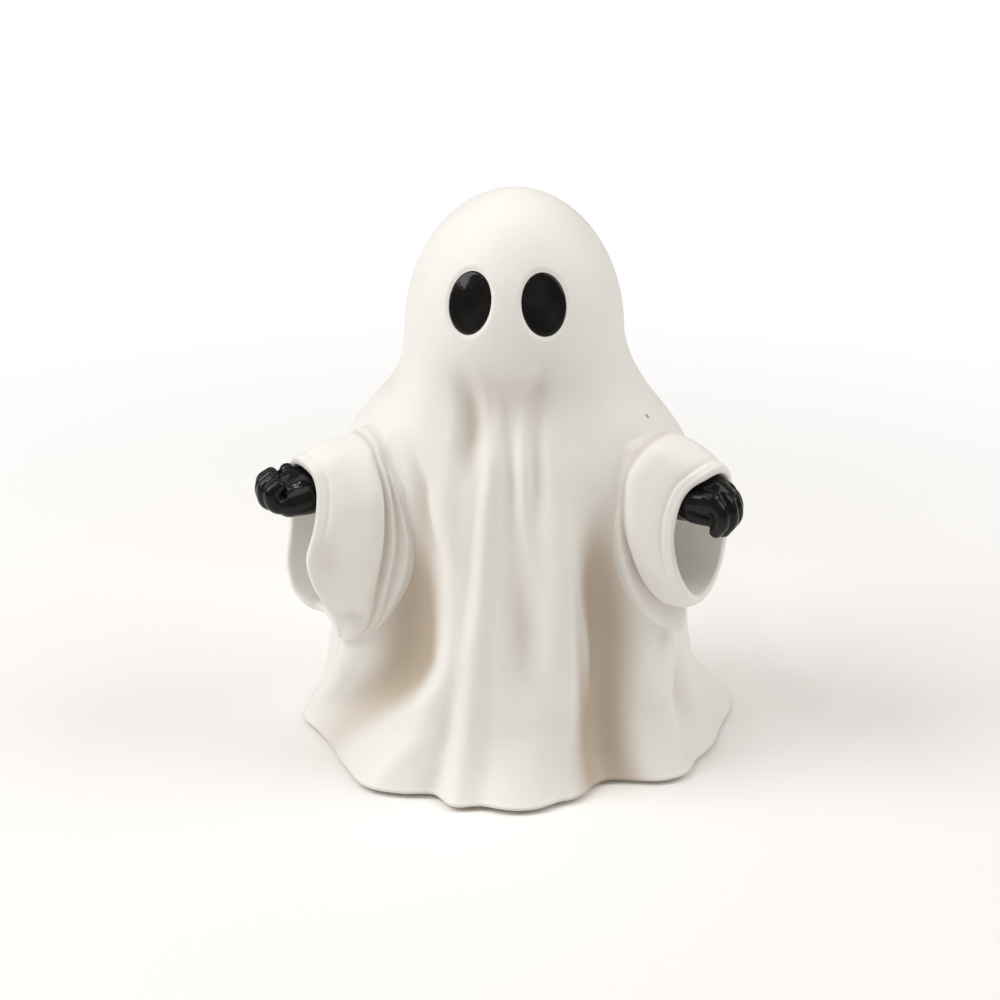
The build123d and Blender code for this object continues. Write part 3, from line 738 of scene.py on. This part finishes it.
# Each loop round a sleeve is (reach, front, up) from its top by the front to its bottom. Behind, it is the
# same again, drawn out to the flank, and only the rims are given there too. Loops run from robe to rim.
sleeves = {
    "columns": 230, "rows": 120, "innerRows": 26, "rimRows": 9, "lineSteps": 160, "crowding": 1.15,
    "wall": 3.2, "innerInset": 3.0, "rimRound": 1.3, "rimSquare": 0.75, "sink": 0.35, "softening": 2,
    # behind, loops lie further out, and their tops lower, by these shares of their distance behind
    "flankShift": 0.3, "flankDrop": 0.25, "dropHeights": (-10, 15), "tuckSpan": (0.0, 0.4),
    "aheadRow": 10, "filletAhead": 14.0, "filletSearch": 44.0, "innerSearch": 2.5,
    "beadPlace": 2.8, "beadHalf": 0.8, "beadDepth": [0.6, 0.5, 0.25, 0.1, 0.1, 0.1, 0.25, 0.5],
    "left": {
        "root": [
            (44, 0, 15), (42, 7.5, 14.4), (44.5, 11, 12.6), (47.6, 13.4, 8.6), (46.6, 14.6, -1.5),
            (46.4, 14.6, -14), (47.4, 13.8, -25), (50.0, 12.0, -34.5), (53.4, 9.4, -42),
            (55.6, 5.4, -46.5), (56.4, 0, -48.5),
        ],
        "lowCrest": [
            (50, 0, 18), (46.5, 8.2, 17), (47.6, 11.4, 14.2), (49.8, 13.8, 9), (49.4, 15.2, -1),
            (50.6, 16.0, -13.5), (52.4, 15.2, -23.5), (55.2, 13.6, -33), (58.6, 10.8, -40.6),
            (62.6, 6.6, -46.4), (68.4, 0, -50.6),
        ],
        "crease": [
            (60, 0, 22.0), (57.2, 8.8, 19.6), (54.6, 11.8, 15.6), (52.0, 14.0, 9.4), (51.4, 14.8, 0.2),
            (51.8, 14.2, -9.6), (53.2, 12.4, -17.6), (55.6, 9.8, -25), (59.2, 7.4, -31),
            (63.6, 4.8, -35), (68.6, 0, -37.0),
        ],
        "edge": [
            (63.5, 0, 21.8), (60, 9.3, 19.8), (57, 13, 15.9), (54.3, 16, 9.8), (54, 17.8, 0.5),
            (54.3, 17.4, -10), (55.4, 15.4, -18.6), (57.4, 12.6, -27), (60.6, 10, -33.6),
            (64.6, 7, -37.8), (69.4, 0, -40.2),
        ],
        "rim": [
            (80, 0, 14), (76.8, 7.6, 12), (72.4, 12, 7.2), (70.2, 14.6, 0.6), (69.4, 16.2, -9),
            (70.4, 16, -18.5), (72, 14.4, -26), (73.4, 11.4, -31.8), (74.2, 7.6, -35.6),
            (74.5, 3.8, -37.4), (74.6, 0, -37.9),
        ],
        "rimBehind": [
            (74.6, -4, -37.4), (74.8, -8, -35.6), (75.1, -11.8, -32), (75.6, -14.4, -26.5),
            (76.2, -15.6, -19.5), (77.2, -15.4, -11), (78.4, -14, -3.5), (79.4, -11.4, 4),
            (80, -6.8, 10.4),
        ],
        # hollows: each loop by name, and how deep it counts for the shade painted into the glaze's creases
        "hollows": {"root": -3.0, "lowCrest": 0.0, "crease": -4.5, "edge": 0.0, "panel": 0.0, "rim": 0.0},
        "bulge": 1.2, "tuck": 0.0,
        "fillet": [2.5, 2.0, 0.6, 0.6, 0.6, 0.6, 0.8, 2.5],
        "dents": [],
    },
    "right": {
        "root": [
            (50, 0, 20.5), (49.5, 8, 16.5), (49.2, 12, 10), (48.4, 17.0, 2.2), (46.2, 18.2, -7),
            (44.6, 19.2, -17), (45.4, 19.0, -27), (47.6, 16.8, -36.5), (51.4, 14.6, -45),
            (55.6, 10.8, -52), (56.4, 0, -54),
        ],
        "lowCrest": [
            (53, 0, 21.0), (51.8, 8.1, 17.0), (51.4, 13.0, 10.6), (50.0, 18.4, 2.6), (48, 19.8, -7),
            (47, 20.8, -17), (48.2, 20.2, -27), (50.2, 17.9, -36.5), (53.6, 15.6, -45),
            (57.4, 11.4, -52.6), (58, 0, -57),
        ],
        "lowCrease": [
            (55, 0, 20.4), (53.2, 8.2, 16.8), (52.4, 13.2, 10.3), (51.3, 16.6, 2.2), (50, 17.6, -7),
            (49.8, 18.2, -17), (51, 17.8, -26.5), (52.6, 17.0, -36), (55.2, 15.5, -45),
            (58.6, 11.3, -52.8), (59, 0, -58),
        ],
        "midCrest": [
            (57, 0, 19.8), (54.6, 8.3, 16.6), (53.6, 14.2, 10.3), (52.7, 18.8, 2.2), (52, 20.0, -7),
            (52, 20.6, -17), (53.3, 19.8, -27), (54.8, 18.0, -36), (56.8, 15.9, -45),
            (59.8, 11.4, -53), (60.2, 0, -58.6),
        ],
        "crease": [
            (59, 0, 19.0), (56, 8.4, 16.2), (55, 14.0, 9.2), (54.2, 17.2, 1.6), (54, 17.6, -7),
            (54.5, 17.6, -17), (55.9, 16.8, -27), (57.3, 16.2, -36), (58.6, 15.3, -45),
            (61, 11.3, -53), (61.6, 0, -58.8),
        ],
        "edge": [
            (61, 0, 18.2), (57.8, 8.6, 15.8), (56.5, 15.8, 9.3), (55.7, 20.3, 1.6), (55.6, 21.2, -7),
            (56.3, 21.0, -17), (57.7, 19.8, -27), (59.1, 17.8, -36), (60.4, 15.7, -45),
            (62.4, 11.2, -53), (63.2, 0, -58.8),
        ],
        "rim": [
            (79.2, 0, 12.6), (76.4, 8.3, 10.3), (75.2, 12.2, 4.5), (75.8, 14.2, -2), (77.4, 16, -8.6),
            (80.7, 18.3, -18.6), (79.6, 17.8, -28), (75.4, 15.4, -37.5), (70.6, 12.4, -45.5),
            (68.6, 9.2, -51.8), (67, 2.5, -57),
        ],
        "rimBehind": [
            (69.0, -4.5, -50.8), (73.6, -9.2, -49.4), (76.6, -12.4, -46.6), (78.8, -15, -42.0),
            (80.0, -16.6, -32.5), (78.8, -16.2, -22), (78.2, -15.2, -12), (78.8, -12.6, -1.5),
            (79.6, -7.2, 8.4),
        ],
        # hollows: each loop by name, and how deep it counts for the shade painted into the glaze's creases
        "hollows": {"root": -3.0, "lowCrest": 0.0, "lowCrease": -3.0, "midCrest": -0.5, "crease": -4.5,
                    "edge": 0.0, "panel": 0.0, "rim": 0.0},
        "bulge": 1.0, "tuck": 1.0,
        "fillet": [3.5, 2.5, 0.8, 0.6, 0.6, 0.6, 0.8, 3.0],
        # distance in from the rim, place round the sleeve, push, and half sizes along and round
        "dents": [
            (6.0, 0.262, -2.4, 6.0, 0.045), (6.5, 0.385, -1.8, 5.0, 0.022),
            (10.5, 0.455, -1.2, 3.5, 0.016),
        ],
    },
}


def closedLoop(shape, name):
    # stations of one loop, all the way round
    front = np.array(shape[name], float)
    if name == "rim":
        return np.concatenate([front, shape["rimBehind"]])
    behind = front[-2:0:-1] * (1, -1, 1)
    depth = np.abs(behind[:, 1])
    behind[:, 0] += sleeves["flankShift"] * depth
    behind[:, 2] -= sleeves["flankDrop"] * depth * smoothStep(*sleeves["dropHeights"], behind[:, 2])
    return np.concatenate([front, behind])


def roundLoop(stations, places):
    return np.stack([roundRun(stations[:, axis], places) for axis in range(3)], -1)


def evenPlaces(stations, count):
    # shares of the way round at which a loop's columns are evenly spaced
    shares = np.linspace(0, 1, 3001)
    lengths = marksAlong(roundLoop(stations, shares))
    return np.interp(np.linspace(0, lengths[-1], count, endpoint=False), lengths, shares)


def outwardsOf(loop):
    # front and up parts of the way out of a loop, square to it
    along = np.roll(loop, -1, 0) - np.roll(loop, 1, 0)
    across = np.stack([np.zeros(len(loop)), -along[:, 2], along[:, 1]], -1)
    return across / np.linalg.norm(across, axis=-1, keepdims=True)


def touchRobe(starts, ends):
    # where lines meet the robe, or else their ends
    hits = []
    for start, end in zip(toFrame(starts), toFrame(ends)):
        direction = Vector(end - start)
        place = robeTouch.ray_cast(Vector(start), direction.normalized(), direction.length)[0]
        hits.append(end if place is None else np.array(place))
    return (np.array(hits) - axisPoint) / mm


def trimToRobe(line, marks):
    # how far a line from the rim towards the root runs, down to just below the robe's surface
    previous = None
    for place, point in enumerate(line):
        spot = Vector(toFrame(point))
        near, normal = robeTouch.find_nearest(spot)[:2]
        depth = (spot - near).dot(normal) / mm
        if depth < -sleeves["sink"]:
            if previous is None:
                return marks[place]
            share = (previous + sleeves["sink"]) / (previous - depth)
            return marks[place - 1] + (marks[place] - marks[place - 1]) * share
        previous = depth
    return marks[-1]


def outerSkin(side, shape, loops):
    # rows from the robe to the rim, how deep they lie in creases (which sets the painted crease shade), and
    # how far they are from the rim
    names = list(reversed(shape["hollows"]))
    knots = np.array([armPoints(side, *loops[name].T) for name in names])
    depths = [shape["hollows"][name] for name in names]
    steps = 1 - (1 - np.linspace(0, 1, sleeves["rows"])) ** sleeves["crowding"]
    skin, hollow, runs = [], [], []
    for column in range(sleeves["columns"]):
        corner = knots[:, column]
        marks = marksAlong(corner)
        fine = np.linspace(0, marks[-1], sleeves["lineSteps"])
        line = np.stack([smoothRun(marks, corner[:, axis], fine) for axis in range(3)], -1)
        runs.append(trimToRobe(line, fine) * (1 - steps))
        skin.append(np.stack([np.interp(runs[-1], fine, line[:, axis]) for axis in range(3)], -1))
        hollow.append(np.interp(runs[-1], marks, depths))
    return [np.swapaxes(np.array(block), 0, 1) for block in (skin, hollow, runs)]


def bendUpRobe(shape, places, outwards, skin, runs):
    # fillet: the lines bend up the robe where the sleeve grows out of the shoulder
    fillet = roundRun(shape["fillet"], places)[:, None]
    root = skin[0]
    ahead = skin[sleeves["aheadRow"]] - root
    ahead = ahead / np.linalg.norm(ahead, axis=-1, keepdims=True)
    start = root + outwards * fillet + ahead * sleeves["filletAhead"]
    foot = touchRobe(start, start - ahead * sleeves["filletSearch"]) - ahead * sleeves["sink"]
    t = np.clip((runs[0] - runs)[..., None] / fillet, 0, 1)
    bend = (1 - t) ** 2 * foot + 2 * t * (1 - t) * root + t**2 * (root + ahead * fillet)
    return np.where(t < 1, bend, skin)


def dentPush(shape, places, runs):
    # dents in the cloth, and the groove along the rim's bead
    push = np.zeros(runs.shape)
    for place, around, depth, long, wide in shape["dents"]:
        gap = (places - around + 0.5) % 1 - 0.5
        push += depth * np.exp(-((runs - place) / long) ** 2 - (gap / wide) ** 2)
    groove = np.exp(-((runs - sleeves["beadPlace"]) / sleeves["beadHalf"]) ** 2)
    return push - roundRun(sleeves["beadDepth"], places) * groove


def innerWall(side, shape, loops, ways, outwards, skin):
    mouth = skin[-1] - sleeves["wall"] * outwards
    # the roof runs level to the robe
    deep = loops["crease"] - sleeves["innerInset"] * ways
    deep[:, 2] = np.minimum(deep[:, 2], loops["rim"][:, 2] - sleeves["wall"] * ways[:, 2])
    deep = armPoints(side, *deep.T)
    # behind, the wall stays within the outer root
    tuck = shape["tuck"] * smoothStep(*sleeves["tuckSpan"], -ways[:, 1])[:, None]
    deep += (skin[0] - sleeves["wall"] * outwards - deep) * tuck
    root = touchRobe(mouth, mouth + (deep - mouth) * sleeves["innerSearch"])
    return [mouth + (root - mouth) * step for step in np.linspace(0, 1, sleeves["innerRows"])]


def lipRows(side, edge, mouth):
    # the rounded rim, from the outer edge over to the inner wall
    out = armAxes(side)[0]
    rows = []
    for angle in np.radians(np.linspace(0, 180, sleeves["rimRows"] + 2)[1:-1]):
        across = math.copysign(abs(math.cos(angle)) ** sleeves["rimSquare"], math.cos(angle))
        bulge = sleeves["rimRound"] * math.sin(angle) ** sleeves["rimSquare"]
        rows.append((edge + mouth) / 2 + (edge - mouth) / 2 * across + out * bulge)
    return rows


def sleeveRows(side, shape):
    places = evenPlaces(closedLoop(shape, "rim"), sleeves["columns"])
    given = [name for name in shape["hollows"] if name != "panel"]
    loops = {name: roundLoop(closedLoop(shape, name), places) for name in given}
    ways = outwardsOf(loops["rim"])
    loops["panel"] = (loops["edge"] + loops["rim"]) / 2 + shape["bulge"] * ways
    outwards = armPoints(side, *ways.T) - armPoints(side, 0.0, 0.0, 0.0)
    skin, hollow, runs = outerSkin(side, shape, loops)
    skin = bendUpRobe(shape, places, outwards, skin, runs)
    push = dentPush(shape, places, runs)
    skin += push[..., None] * outwards
    # dents deepen the painted crease shade too
    hollow += np.minimum(push, 0)
    for _ in range(sleeves["softening"]):
        skin[1:-1] = (skin[:-2] + 2 * skin[1:-1] + skin[2:]) / 4
    inner = innerWall(side, shape, loops, ways, outwards, skin)
    rows = np.concatenate([skin, lipRows(side, skin[-1], inner[0]), inner])
    return rows, np.concatenate([hollow, np.zeros((len(rows) - len(skin), len(places)))])


def makeSleeve(name):
    rows, hollow = sleeveRows(arms["sides"][name], sleeves[name])
    mesh = rowsToMesh(f"{name}Sleeve", rows, loop=True)
    # the hollow depths darken the glaze as painted shade in the sleeve's creases
    addValues(mesh, "hollow", hollow.ravel())
    return newPiece(f"{name}HangingSleeve", mesh, [whiteGlaze])


sleevePieces = [(makeSleeve(name), f"{name}_sleeve", "white_glaze") for name in ("left", "right")]
print("sleeves made")

# Hands: chains of balls, each (reach, front, up, radius) in mm, skinned into one glazed form
hands = {
    "voxel": 0.36, "spacing": 0.22, "smoothing": 6, "smoothShare": 0.5, "ballSplits": 3,
    "left": [
        [(67.4, 0, 0, 8.6), (72, 0, 0.8, 8.5), (77, 0, 1.8, 7.6), (81, 0, 1.0, 6.0)],
        [(73, 4.6, 0.6, 6.0), (80, 5.4, 1.6, 4.6)],
        [(73, -4.6, 0.6, 6.0), (80, -5.4, 1.6, 4.6)],
        [(78, 0, -2.5, 5.0), (82, 0, -4.0, 4.0)],
        [(78.4, 6.4, 2.8, 3.3), (83.4, 6.8, 0.6, 3.0), (85.0, 6.9, -4.0, 2.8), (83.0, 6.6, -7.6, 2.5)],
        [(78.8, 2.2, 4.2, 3.3), (84.6, 2.3, 1.4, 3.0), (86.2, 2.3, -4.4, 2.8), (83.8, 2.3, -8.6, 2.5)],
        [(78.8, -2.2, 4.0, 3.3), (84.2, -2.3, 1.2, 3.0), (85.8, -2.3, -4.2, 2.8), (83.6, -2.3, -8.2, 2.5)],
        [(78.2, -6.4, 2.6, 3.2), (82.6, -6.7, 0.4, 2.9), (84.0, -6.8, -3.6, 2.7), (82.4, -6.6, -6.8, 2.4)],
        [(71, 6.2, -1.5, 4.0), (75.5, 7.4, -2.6, 3.4), (79.6, 6.6, -3.6, 2.8)],
    ],
    "right": [
        [(72.8, 0, 0, 8.6), (77, 0, -0.6, 8.4), (82, 0, -1.6, 7.4), (86.5, 0, -2.0, 6.0)],
        [(78, 4.6, -1.6, 5.8), (85.0, 5.6, -2.6, 4.6)],
        [(78, -4.6, -1.2, 5.8), (85.0, -5.6, -2.2, 4.6)],
        [(80, -2, 2.0, 5.2), (86.0, -1, 1.6, 4.4)],
        [(85.0, 6.4, -3.0, 3.4), (90.2, 6.6, -1.2, 3.1), (91.2, 6.4, 2.4, 2.8), (88.6, 6.2, 4.8, 2.5)],
        [(86.0, 2.2, -3.4, 3.4), (91.8, 2.2, -1.2, 3.1), (92.4, 2.2, 3.2, 2.8), (89.4, 2.0, 5.8, 2.5)],
        [(86.0, -2.2, -3.2, 3.3), (91.4, -2.3, -0.8, 3.1), (91.8, -2.3, 3.0, 2.8), (88.8, -2.2, 5.6, 2.5)],
        [(85.0, -6.4, -2.8, 3.2), (90.0, -6.7, -0.4, 3.0), (90.6, -6.7, 2.6, 2.7), (87.8, -6.6, 4.8, 2.4)],
        [(76, -5.0, 2.0, 4.6), (80.0, -6.2, 3.8, 3.6), (82.4, -5.4, 5.6, 2.8)],
    ],
}


def handBalls(name):
    # balls along each chain, which bends smoothly through its places
    balls = []
    for chain in hands[name]:
        chain = np.array(chain, float)
        marks = marksAlong(chain[:, :3])
        count = math.ceil(marks[-1] / (hands["spacing"] * chain[:, 3].min()))
        places = np.linspace(0, marks[-1], count + 1)
        balls.append(np.stack([smoothRun(marks, chain[:, axis], places) for axis in range(4)], -1))
    return np.concatenate(balls)


def makeHand(name):
    ball = bmesh.new()
    bmesh.ops.create_icosphere(ball, subdivisions=hands["ballSplits"], radius=1)
    corners = np.array([corner.co for corner in ball.verts])
    faces = np.array([[corner.index for corner in face.verts] for face in ball.faces])
    ball.free()
    balls = handBalls(name)
    centres = armPoints(arms["sides"][name], *balls[:, :3].T)
    points = centres[:, None] + corners * balls[:, 3, None, None]
    skins = faces + np.arange(len(balls))[:, None, None] * len(corners)
    mesh = bpy.data.meshes.new(f"{name}Hand")
    mesh.from_pydata(toFrame(points.reshape(-1, 3)).tolist(), [], skins.reshape(-1, 3).tolist())
    piece = newPiece(f"{name}CurledHand", mesh, [blackGlaze])
    skin = piece.modifiers.new("skin", "REMESH")
    skin.mode = "VOXEL"
    skin.voxel_size = hands["voxel"] * mm
    skin.use_smooth_shade = True
    soften = piece.modifiers.new("soften", "SMOOTH")
    soften.factor = hands["smoothShare"]
    soften.iterations = hands["smoothing"]
    settle(piece)
    turnOutwards(piece.data)
    return piece


handPieces = [(makeHand(name), f"{name}_hand", "black_glaze") for name in ("left", "right")]
print("hands made,", [len(piece.data.polygons) for piece, _, _ in handPieces])

# Every new piece stands for its node and rides on the figure's one body
newPieces = [(robePiece, "robe_shell", "white_glaze"), *eyePieces, *sleevePieces, *handPieces]
for piece, node, slot in newPieces:
    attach(piece, "root")
    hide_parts(node)

# Pieces that keep their shape get their finishes
finishOf = {"forearm": bareCeramic, "dowel": dowelWood, "felt": padFelt}
for node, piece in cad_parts.items():
    for word, material in finishOf.items():
        if word in node:
            piece.data.materials.clear()
            piece.data.materials.append(material)

# Floor, light and camera
studio = {
    "floorRadius": 6.0, "floorColour": (0.93, 0.925, 0.915, 1), "floorRough": 0.9, "floorGloss": 0.1,
    "whiteFrom": 0.14, "whiteTo": 0.55,  # the floor fades to white between these distances, in metres
    "worldColour": (1.0, 0.92, 0.81, 1), "worldStrength": 0.31,
    "lampTarget": (0, 0, 0.1),
    # power, size and place of each lamp
    "lamps": {
        "keyLight": (11.5, 0.9, (-1.0, -0.25, 1.05)),
        "fillLight": (7.0, 0.9, (1.05, 0.0, 1.0)),
        "topLight": (4.0, 0.9, (-0.1, 0.05, 1.45)),
        "sparkLight": (0.8, 0.06, (-0.30, -0.62, 1.15)),
    },
}
view = {
    "elevation": 20.0, "turn": 4.5, "distance": 846.0, "lens": 85.0,
    "target": 100.0, "aimRight": -5.0, "aimUp": -13.3,
}


def makeFloor():
    work = bmesh.new()
    bmesh.ops.create_circle(work, cap_ends=True, segments=96, radius=studio["floorRadius"])
    mesh = bpy.data.meshes.new("paleFloor")
    work.to_mesh(mesh)
    work.free()
    material, tree, shader, place = newMaterial("paleFloor")
    shader.inputs["Base Color"].default_value = studio["floorColour"]
    shader.inputs["Roughness"].default_value = studio["floorRough"]
    shader.inputs["Specular IOR Level"].default_value = studio["floorGloss"]
    white = addNode(tree, "ShaderNodeEmission")
    distance = addNode(tree, "ShaderNodeVectorMath", operation="LENGTH")
    feed(tree, distance.inputs[0], place)
    far = rangeNode(tree, distance.outputs["Value"], studio["whiteFrom"], studio["whiteTo"])
    seen = addNode(tree, "ShaderNodeLightPath").outputs["Is Camera Ray"]
    share = mathNode(tree, "MULTIPLY", far, seen)
    blendShaders(tree, "Material Output", share, shader.outputs[0], white.outputs[0])
    newPiece("paleFloor", mesh, [material])


def makeWorld():
    world = bpy.data.worlds.new("studio")
    scene.world = world
    world.use_nodes = True
    tree = world.node_tree
    light = tree.nodes["Background"]
    light.inputs[0].default_value = studio["worldColour"]
    light.inputs[1].default_value = studio["worldStrength"]
    white = addNode(tree, "ShaderNodeBackground")
    white.inputs[0].default_value = (1, 1, 1, 1)
    path = addNode(tree, "ShaderNodeLightPath").outputs
    seen = mathNode(tree, "MAXIMUM", path["Is Camera Ray"], path["Is Transmission Ray"])
    blendShaders(tree, "World Output", seen, light.outputs[0], white.outputs[0])


def addLight(name, power, size, place):
    lamp = bpy.data.lights.new(name, "AREA")
    lamp.energy = power
    lamp.size = size
    light = bpy.data.objects.new(name, lamp)
    light.location = place
    aim = Vector(studio["lampTarget"]) - light.location
    light.rotation_euler = aim.to_track_quat("-Z", "Y").to_euler()
    scene.collection.objects.link(light)


def makeCamera():
    lens = bpy.data.cameras.new("photoView")
    lens.lens = view["lens"]
    camera = bpy.data.objects.new("photoView", lens)
    elevation, turn = math.radians(view["elevation"]), math.radians(view["turn"])
    level = math.cos(elevation)
    back = Vector((math.sin(turn) * level, -math.cos(turn) * level, math.sin(elevation)))
    right = Vector((math.cos(turn), math.sin(turn), 0))
    target = robeAxis + Vector((0, 0, view["target"])) * mm
    aim = target + (right * view["aimRight"] + back.cross(right) * view["aimUp"]) * mm
    camera.location = target + back * view["distance"] * mm
    camera.rotation_euler = (aim - camera.location).to_track_quat("-Z", "Y").to_euler()
    scene.collection.objects.link(camera)
    scene.camera = camera


makeFloor()
makeWorld()
for name, (power, size, place) in studio["lamps"].items():
    addLight(name, power, size, place)
makeCamera()
print("stage set")
